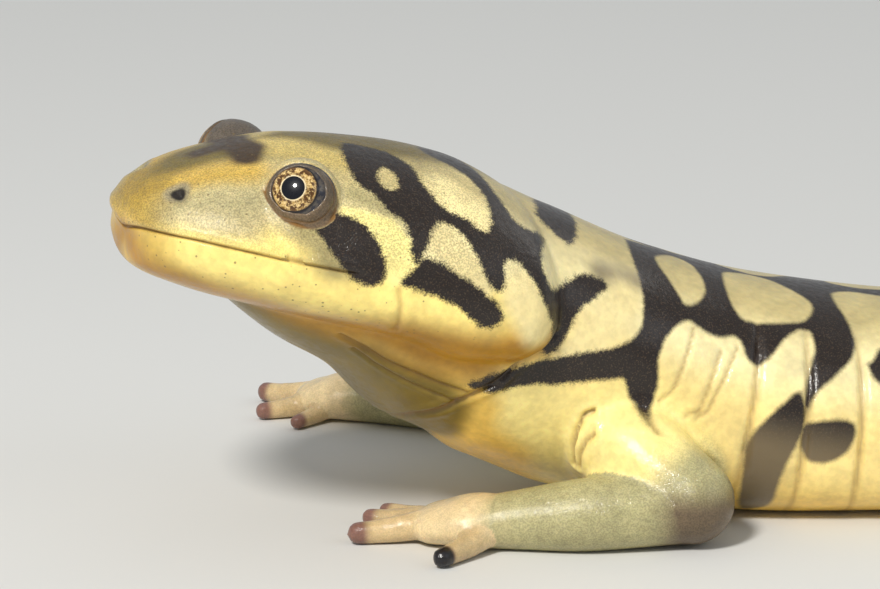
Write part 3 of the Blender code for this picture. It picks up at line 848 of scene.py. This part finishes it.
def hidden_marks():
    """Outlines of dark marks and pale spots where the marks above go on, in the same manner."""
    rng = np.random.default_rng(5)
    dark, pale = [], []
    for side, start in ((1, 62.5), (-1, 64.0)):
        s, edge, spots, low_marks = start, [], [], []
        while s < HIPS:
            gap, drip, lean = rng.uniform(4.4, 9.6), rng.uniform(-14, 14), rng.uniform(-1.5, 1.5)
            edge += [(s - 1.3, 24), (s - 0.8, drip + 6), (s + 0.5 * lean, drip), (s + 0.9, drip + 8)]
            edge += [(s + 1.4, 24), (s + gap / 2, rng.uniform(18, 28))]
            middle, half, kind = s + gap / 2, gap / 2 - rng.uniform(0.7, 1.5), rng.random()
            top = 100 if kind < 0.25 else rng.uniform(56, 84)
            bottom = -5 if kind > 0.75 else rng.uniform(28, 46)
            front, back = middle - half, middle + half
            spots.append([(front, bottom + 14), (front + lean, top - 8), (middle + lean, top),
                          (back + lean, top - 12), (back, bottom + 8), (middle, bottom)])
            if kind < 0.6:
                head, foot = rng.uniform(-12, -2), rng.uniform(-50, -20)
                low, width = s + rng.uniform(0.4, 2.6), rng.uniform(1.2, 3.4)
                waist = (head + foot) / 2
                low_marks.append([(low, head), (low + width, head + 2), (low + width + 0.5, waist),
                                  (low + lean + width, foot), (low + lean, foot), (low - 0.4, waist)])
            s += gap
        back_band = [(start - 2, 95), (start - 2, 26), *edge, (HIPS + 4, 24), (HIPS + 4, 95)]
        bars = []
        s = HIPS + 4
        while s < LENGTH - 3:
            slim = 1 - (s - HIPS) / 170
            half, lean = rng.uniform(1.1, 2.2) * slim, rng.uniform(-1.6, 1.6) * slim
            foot = rng.uniform(-70, -5)
            bars.append([(s - 1.4 * half, 95), (s - half, 50), (s + lean - half, 15),
                         (s + lean - 0.4 * half, foot), (s + lean + 0.5 * half, foot),
                         (s + lean + half, 18), (s + half, 50), (s + 1.4 * half, 95)])
            step = rng.uniform(4.6, 7.0) * (0.35 + 0.65 * slim)
            if rng.random() < 0.3:
                bars.append([(s, 55), (s, 95), (s + step, 95), (s + step, 62)])
            s += step
        marks = [back_band, *low_marks, *bars]
        dark += marks if side > 0 else mirrored(marks)
        pale += spots if side > 0 else mirrored(spots)
    return dark, pale


def from_axis(points, start, end):
    """How far points are from the line between two joints, and at which share of it."""
    step = np.subtract(end, start)
    t = np.clip((points - start) @ step / (step @ step), 0, 1)
    return np.linalg.norm(points - start - t[:, None] * step, axis=1), t


def limb_places(points):
    """How far along its leg each point is (1 elbow, 2 wrist, 3 digits, 4 tips), how surely it is on
    a leg, and whether it is on the digit with the black tip."""
    along, ratio = np.zeros(len(points)), np.full(len(points), 9.0)
    black = np.zeros(len(points))

    def follow(joints, first, last, tip=0.0):
        rows = np.array(joints)
        centres, sizes = rows[:, :3], rows[:, 3:].mean(axis=1)
        inside = (points > centres.min(axis=0) - 5) & (points < centres.max(axis=0) + 5)
        near = np.flatnonzero(inside.all(axis=1))
        for i in range(len(rows) - 1):
            away, t = from_axis(points[near], centres[i], centres[i + 1])
            away /= sizes[i] + (sizes[i + 1] - sizes[i]) * t
            closer = away < ratio[near]
            chosen = near[closer]
            ratio[chosen] = away[closer]
            along[chosen] = first + (last - first) * (i + t[closer]) / (len(rows) - 1)
            black[chosen] = tip

    for name, joints in LIMBS.items():
        follow(joints, *((0, 1) if name.endswith("upper") else (1, 2)))
    for joints, digits in FEET.values():
        follow(joints, 2, 3)
        for i, sizes in enumerate(digits):
            follow(digit_joints(*sizes), 3, 4, float(i == len(digits) - 1))
    return along, ramp(ratio, 1.6, 1.25), black


def leg_mark_distance(points):
    """How far each point lies outside the nearest dark patch of a leg, whose edges are uneven."""
    found = np.full(len(points), 3.0)
    x, y, z = points.T
    uneven = 0.4 * np.sin(2.1 * x + 0.8 * z) + 0.4 * np.sin(2.6 * y + 1.1)
    for start, end, radius in LEG_MARKS:
        away, _ = from_axis(points, start, end)
        found = np.minimum(found, away - radius + uneven)
    return found


def paint_points(skin, places, points, lids, shade):
    """Stores on the skin its ground colour and how far each point is from each kind of marking."""
    count = len(points)
    side = places.side
    ground = np.tile(np.array(FLANK), (count, 1))
    ground = mixed(ground, BEIGE, ramp(side, 18, 45))
    ground = mixed(ground, FLANK_LOW, ramp(side, 14, -10))
    ground = mixed(ground, BELLY, ramp(side, -18, -46))
    zones = [(colour, softness, [*strokes, *mirrored(strokes)]) for colour, softness, strokes in ZONES]
    for colour, softness, strokes in zones + RIGHT_ZONES:
        away = stroke_distance(places, strokes)
        ground = mixed(ground, colour, ramp(away, softness, -0.2 * softness))
    along, on_limb, black = limb_places(points)
    for colour, low, high in LIMB_COLOURS:
        ground = mixed(ground, colour, on_limb * ramp(along, low, high))
    # painted shade on the low side of the elbows and knees
    ground = mixed(ground, ELBOW_SHADE, on_limb * bump(along, 1.0, 0.15) * ramp(points[:, 2], 5.5, 3))
    ground = mixed(ground, BLACK, on_limb * black * ramp(along, 3.75, 3.9))
    lid = np.zeros(count)
    # The crease layer is painted shade in the grooves of the mouth, the lids and the folds
    crease = 0.8 * bump(places.mouth, 0, 0.11) * ramp(places.s, JAW_END + 1.0, JAW_END - 1)
    crease *= 1 - 0.35 * ramp(places.s, 3, 9)
    crease = np.maximum(crease * (places.radius > 1.0), np.minimum(shade, 0.7))
    lid_colour = np.tile(np.array(LID_LOWER), (count, 1))
    for near, angle, edge, behind, reach, height in lids:
        lid[near] = np.maximum(lid[near], reach * ramp(angle, behind + 2, behind - 1))
        upper = ramp(height, -0.35, 0.45)
        lid_colour[near] = mixed(lid_colour[near], LID_UPPER, upper)
        lines = bump(angle, behind, 3.0) + 0.5 * bump(angle, (edge + behind) / 2 + 2, 1.6)
        crease[near] = np.maximum(crease[near], reach * ramp(behind - edge, 4, 16) * lines)
    ground += (lid_colour - ground) * lid[:, None]
    # Painted shade in the nostril's slit and on its walls
    nose = places.away_from(*NOSTRIL)
    ground = mixed(ground, NOSE_RIM_SHADE, ramp(nose, 1.3, 0.7))
    ground = mixed(ground, SHADE, ramp(nose, 0.7, 0.42))

    more_dark, more_pale = hidden_marks()
    dark = outline_distance(places, [*DARK_MARKS, *mirrored(DARK_MARKS, 0.6), *more_dark])
    pale = outline_distance(places, [*PALE_SPOTS, *mirrored(PALE_SPOTS, 0.6), *more_pale])
    dark = np.maximum(dark, -pale)
    dark = np.where(on_limb * (along > 0.6) > 0.5, 3.0, dark)
    dark = np.minimum(dark, leg_mark_distance(points))
    dark = np.where(lid > 0.3, 3.0, dark)
    faded = ramp(side, -2, -20) * ramp(places.s, 40, 46)
    grain = ramp(side, 0, 15) * ramp(places.s, 30, 20)
    leg_grain = ramp(along, 0.6, 1.0) * (0.7 - 0.35 * ramp(along, 1.8, 2.3))
    grain = np.maximum(grain, on_limb * leg_grain)
    pepper = ramp(places.s, 26, 18) * ramp(side, -30, -15)
    stipple = ramp(places.s, 44, 26)
    layers = {"dark": dark, "faded": faded, "grain": grain}
    layers |= {"pepper": pepper, "crease": crease, "stipple": stipple}
    for name, values in layers.items():
        layer = skin.data.attributes.new(name, "FLOAT", "POINT")
        layer.data.foreach_set("value", values.astype(np.float32))
    layer = skin.data.attributes.new("ground", "FLOAT_COLOR", "POINT")
    colours = np.hstack([ground, np.ones((count, 1))])
    layer.data.foreach_set("color", colours.astype(np.float32).ravel())


class Paint:
    """A material whose nodes are made by one call each."""

    def __init__(self, name):
        self.material = bpy.data.materials.new(name)
        self.material.use_nodes = True
        self.tree = self.material.node_tree
        self.surface = self.tree.nodes["Principled BSDF"]

    def node(self, kind, inputs=(), **settings):
        node = self.tree.nodes.new("ShaderNode" + kind)
        for name, value in settings.items():
            setattr(node, name, value)
        for name, value in dict(inputs).items():
            self.join(node.inputs[name], value)
        return node

    def join(self, socket, value):
        if isinstance(value, bpy.types.NodeSocket):
            self.tree.links.new(value, socket)
        else:
            socket.default_value = value

    def finish(self, colour, roughness, numbers):
        """Joins what varies to the surface and sets the numbers that are the same all over it."""
        self.join(self.surface.inputs["Base Color"], colour)
        self.join(self.surface.inputs["Roughness"], roughness)
        for name, value in numbers.items():
            self.surface.inputs[name].default_value = value
        return self.material

    def attribute(self, name):
        return self.node("Attribute", attribute_name=name).outputs["Fac"]

    def place(self):
        return self.node("TexCoord").outputs["Object"]

    def clouds(self, vector, scale, detail, roughness=0.5):
        """Cloudy noise from 0 to 1."""
        inputs = {"Vector": vector, "Scale": scale, "Detail": detail, "Roughness": roughness}
        return self.node("TexNoise", inputs).outputs["Fac"]

    def noise(self, size, detail=2.0):
        """The same with lumps of a size in millimetres."""
        return self.clouds(self.place(), 1 / (size * MM), detail)

    def math(self, operation, a, b=0.0):
        return self.node("Math", {0: a, 1: b}, operation=operation).outputs[0]

    def plus(self, a, b):
        return self.math("ADD", a, b)

    def times(self, a, b):
        return self.math("MULTIPLY", a, b)

    def between(self, value, low, high, start=0.0, end=1.0):
        inputs = {"Value": value, "From Min": low, "From Max": high, "To Min": start, "To Max": end}
        return self.node("MapRange", inputs, interpolation_type="SMOOTHSTEP").outputs["Result"]

    def mix(self, share, a, b):
        a, b = ((*v, 1) if isinstance(v, tuple) else v for v in (a, b))
        return self.node("Mix", {0: share, 6: a, 7: b}, data_type="RGBA").outputs[2]

    def tinted(self, colour, factor):
        """A colour made lighter or darker by a number that varies."""
        grey = self.node("CombineColor", {"Red": factor, "Green": factor, "Blue": factor}).outputs[0]
        settings = {"data_type": "RGBA", "blend_type": "MULTIPLY"}
        return self.node("Mix", {0: 1.0, 6: colour, 7: grey}, **settings).outputs[2]


def skin_paint():
    """Mottled ground, stippled dark marks, pin-point specks, and the gloss of wet skin over a fine grain."""
    paint = Paint("skin")
    ground = paint.node("Attribute", attribute_name="ground").outputs["Color"]
    clouds, mottle, fine = paint.noise(2.5), paint.noise(0.55, 3.0), paint.noise(0.12, 2.0)
    grain = paint.attribute("grain")
    colour = paint.tinted(ground, paint.between(clouds, 0.3, 0.7, 0.9, 1.08))
    colour = paint.tinted(colour, paint.between(mottle, 0.3, 0.7, 0.92, 1.06))
    grained = paint.tinted(colour, paint.between(fine, 0.36, 0.64, 0.72, 1.2))
    colour = paint.mix(grain, colour, grained)

    cells = paint.node("TexVoronoi", {"Vector": paint.place(), "Scale": 1 / (0.5 * MM)})
    lucky = paint.node("SeparateColor", {0: cells.outputs["Color"]}).outputs[0]
    size = paint.between(lucky, 0.3, 1.0, 0.0, 0.14)
    speck = paint.math("SUBTRACT", cells.outputs["Distance"], size)
    speck = paint.times(paint.between(speck, -0.02, 0.09, 1.0, 0.0), paint.attribute("pepper"))
    colour = paint.mix(paint.times(speck, 0.7), colour, SPECK)

    ragged = paint.between(mottle, 0.3, 0.7, -0.08, 0.08)
    ragged = paint.plus(ragged, paint.between(fine, 0.3, 0.7, -0.1, 0.1))
    ragged = paint.times(ragged, paint.between(paint.attribute("stipple"), 0.0, 1.0, 0.25, 1.0))
    mark = paint.between(paint.plus(paint.attribute("dark"), ragged), -0.27, 0.22, 1.0, 0.0)
    ink = paint.mix(paint.between(fine, 0.52, 0.68), INK, INK_SPECK)
    ink = paint.mix(paint.attribute("faded"), ink, INK_FADED)
    colour = paint.mix(mark, colour, ink)
    # painted shade in the grooves, less where a mark is already dark
    crease = paint.times(paint.attribute("crease"), paint.between(mark, 0.0, 1.0, 1.0, 0.1))
    colour = paint.mix(crease, colour, CREASE_SHADE)

    relief = paint.plus(paint.times(fine, 0.35), mottle)
    bumps = paint.node("Bump", {"Height": relief, "Strength": 0.5, "Distance": 0.05 * MM})
    paint.join(paint.surface.inputs["Normal"], bumps.outputs["Normal"])
    film = paint.times(relief, paint.between(grain, 0.0, 1.0, 1.0, 2.4))
    film = paint.node("Bump", {"Height": film, "Strength": 0.8, "Distance": 0.07 * MM})
    paint.join(paint.surface.inputs["Coat Normal"], film.outputs["Normal"])
    return paint.finish(colour, paint.between(mottle, 0.3, 0.7, 0.34, 0.5), {
        "Specular IOR Level": 0.28,
        "Coat Weight": 0.45,
        "Coat Roughness": 0.09,
        "Subsurface Weight": 0.12,
        "Subsurface Radius": (1.0, 0.45, 0.15),
        "Subsurface Scale": 0.8 * MM,
    })


def eye_paint():
    """A black pupil in a gold iris flecked with brown, and the dark ball round it, under a wet cornea."""
    paint = Paint("eye")
    gaze = paint.node("Attribute", attribute_name="gaze").outputs["Vector"]
    x, y, z = paint.node("SeparateXYZ", {0: gaze}).outputs[:3]
    across = paint.math("SQRT", paint.plus(paint.times(x, x), paint.times(y, y)))
    across = paint.plus(across, paint.between(z, -0.1, 0.1, 1.0, 0.0))
    wobble = paint.noise(0.8)
    coarse = paint.clouds(gaze, 7.0, 4.0, 0.6)
    fine = paint.clouds(gaze, 26.0, 3.0)
    gold = paint.mix(paint.between(fine, 0.35, 0.65), IRIS_DARK, IRIS)
    gold = paint.mix(paint.between(coarse, 0.54, 0.46), gold, IRIS_FLECK)
    gold = paint.mix(paint.between(across, 0.50, 0.62, 0.0, 0.5), gold, IRIS_OUTER)
    inner = paint.times(paint.between(across, 0.47, 0.38), paint.between(coarse, 0.44, 0.6, 0.95, 0.25))
    gold = paint.mix(inner, gold, IRIS_INNER)
    ball = paint.mix(paint.between(coarse, 0.42, 0.6), BALL_DARK, BALL)
    rim = paint.plus(across, paint.between(wobble, 0.3, 0.7, -0.01, 0.01))
    colour = paint.mix(paint.between(rim, 0.585, 0.62), gold, BLACK)
    colour = paint.mix(paint.between(across, 0.63, 0.69), colour, ball)
    edge = paint.plus(across, paint.between(fine, 0.3, 0.7, -0.015, 0.015))
    colour = paint.mix(paint.times(paint.between(edge, 0.36, 0.335), 0.85), colour, PUPIL_RING)
    colour = paint.mix(paint.between(across, 0.325, 0.31), colour, PUPIL)
    return paint.finish(colour, paint.between(fine, 0.3, 0.7, 0.25, 0.4), {
        "Specular IOR Level": 0.1,
        "Coat Weight": 1.0,
        "Coat IOR": 1.38,
        "Coat Roughness": 0.02,
    })


def make_skin(spine):
    """The skin: fused, smoothed, shaped, set on the floor and painted."""
    mesh = fused(spine)
    refine(mesh, spine.find(read_points(mesh))[0] < FINE_UNTIL)
    places = Places(spine, read_points(mesh))
    lips = (np.abs(places.mouth) < 0.7) & (places.s < JAW_END + 2) & (places.radius > 0.5)
    refine(mesh, (places.away_from(*EYE) < 4.6) | (places.away_from(*NOSTRIL) < 1.3) | lips)
    net = Net(mesh)
    points = net.smoothed(read_points(mesh), 10)
    points = fillet_creases(mesh, net, points)
    places = Places(spine, points)
    write_points(mesh, points)
    normals = read_points(mesh, "normal")
    folds, shade = fold_shape(places)
    points = points + normals * (mouth_shape(places) + nostril_shape(places) + folds)[:, None]
    lids = []
    for side in (1, -1):
        points, lid = lid_shape(spine, points, side)
        lids.append(lid)
    points[:, 2] = np.maximum(points[:, 2], LOWEST)
    write_points(mesh, points * MM)
    mesh.name = "skin"
    mesh.shade_smooth()
    skin = add_object("skin", mesh)
    paint_points(skin, places, points, lids, shade)
    return skin


def make_eye(spine, side, name):
    """An eyeball turned to its gaze, with the bulge of the cornea in front."""
    centre, axis, _, rise = eye_frame(spine, side, GAZE)
    across = unit(np.cross(rise, axis))
    axes = np.array([across, np.cross(axis, across), axis])
    bm = bmesh.new()
    gaze = bm.verts.layers.float_vector.new("gaze")

    def point(bend, turn):
        """A point of the ball, so far from the pupil and so far round it."""
        wide = math.sin(bend)
        local = np.array([wide * math.cos(turn), wide * math.sin(turn), math.cos(bend)])
        bulge = 1 + CORNEA * ramp(math.degrees(bend), 46, 30)
        vert = bm.verts.new((centre + EYE_RADIUS * bulge * local @ axes) * MM)
        vert[gaze] = Vector(local)
        return vert

    bends = np.linspace(0, math.pi, EYE_ROWS + 1)
    turns = np.linspace(0, 2 * math.pi, EYE_AROUND, endpoint=False)
    loops = [[point(bend, turn) for turn in turns] for bend in bends[1:-1]]
    join_loops(bm, loops)
    for bend, loop in ((bends[0], loops[0]), (bends[-1], loops[-1])):
        pole = point(bend, 0)
        for a, b in zip(loop, loop[1:] + loop[:1]):
            bm.faces.new((a, b, pole))
    bmesh.ops.recalc_face_normals(bm, faces=bm.faces)
    mesh = bpy.data.meshes.new(name)
    bm.to_mesh(mesh)
    bm.free()
    mesh.shade_smooth()
    return add_object(name, mesh)


# ---------------------------------------------------------------- the studio

CAMERA_AZIMUTH, CAMERA_ELEVATION, CAMERA_DISTANCE = -8, 14, 380
CAMERA_TARGET = (-54.1, -6.0, 16.8)
SENSOR = 36
VIEW_WIDTH = 61.6  # how much of the animal's length the picture takes in

FLOOR_SIZE = 3000
FLOOR_COLOUR = (0.72, 0.72, 0.70)
SKY_COLOUR, SKY_STRENGTH = (0.92, 0.96, 1.0), 0.40
# (name, azimuth, elevation, distance, size, watts, colour)
LIGHTS = [
    ("key", -34, 44, 700, 130, 4.4, (1.0, 0.97, 0.92)),
    ("fill", 55, 30, 800, 500, 0.6, (0.9, 0.95, 1.0)),
    ("rim", 120, 30, 700, 300, 0.25, (1.0, 0.98, 0.94)),
]


def direction(azimuth, elevation):
    """Towards a light or the camera: azimuth 0 looks along +Y from the front."""
    a, e = math.radians(azimuth), math.radians(elevation)
    return Vector((math.sin(a) * math.cos(e), -math.cos(a) * math.cos(e), math.sin(e)))


def aim(obj, azimuth, elevation, distance):
    """Puts a light or the camera that far from the target, turned to it."""
    way = direction(azimuth, elevation)
    obj.location = (Vector(CAMERA_TARGET) + way * distance) * MM
    obj.rotation_euler = way.to_track_quat("Z", "Y").to_euler()


def make_studio():
    scene = bpy.context.scene
    data = bpy.data.cameras.new("camera")
    data.sensor_width = SENSOR
    data.lens = SENSOR * CAMERA_DISTANCE / VIEW_WIDTH
    data.clip_start, data.clip_end = 0.01, 10
    camera = add_object("camera", data)
    aim(camera, CAMERA_AZIMUTH, CAMERA_ELEVATION, CAMERA_DISTANCE)
    scene.camera = camera
    for name, azimuth, elevation, distance, size, watts, colour in LIGHTS:
        lamp = bpy.data.lights.new(name, "AREA")
        lamp.shape, lamp.size = "DISK", size * MM
        lamp.energy, lamp.color = watts, colour
        aim(add_object(name, lamp), azimuth, elevation, distance)
    world = bpy.data.worlds.new("studio")
    world.use_nodes = True
    world.node_tree.nodes["Background"].inputs["Color"].default_value = (*SKY_COLOUR, 1)
    world.node_tree.nodes["Background"].inputs["Strength"].default_value = SKY_STRENGTH
    scene.world = world
    scene.view_settings.view_transform = "Standard"

    mesh = bpy.data.meshes.new("floor")
    half = FLOOR_SIZE / 2 * MM
    corners = [(-half, -half, 0), (half, -half, 0), (half, half, 0), (-half, half, 0)]
    mesh.from_pydata(corners, [], [(0, 1, 2, 3)])
    floor = add_object("floor", mesh)
    mesh.materials.append(Paint("floor").finish((*FLOOR_COLOUR, 1), 0.8, {}))


def main():
    for old in list(bpy.data.objects):
        bpy.data.objects.remove(old)
    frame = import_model()
    spine = Spine()
    skin = make_skin(spine)
    skin.data.materials.append(skin_paint())
    eyes = ("eye_left", "eye_right")
    eye_material = eye_paint()
    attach(skin, "root")
    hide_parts(*(name for name in frame["nodes"] if name not in eyes))
    for side, node in zip((1, -1), eyes):
        eye = make_eye(spine, side, f"eyeball_{node.split('_')[1]}")
        eye.data.materials.append(eye_material)
        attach(eye, "root")
        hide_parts(node)
    make_studio()


main()
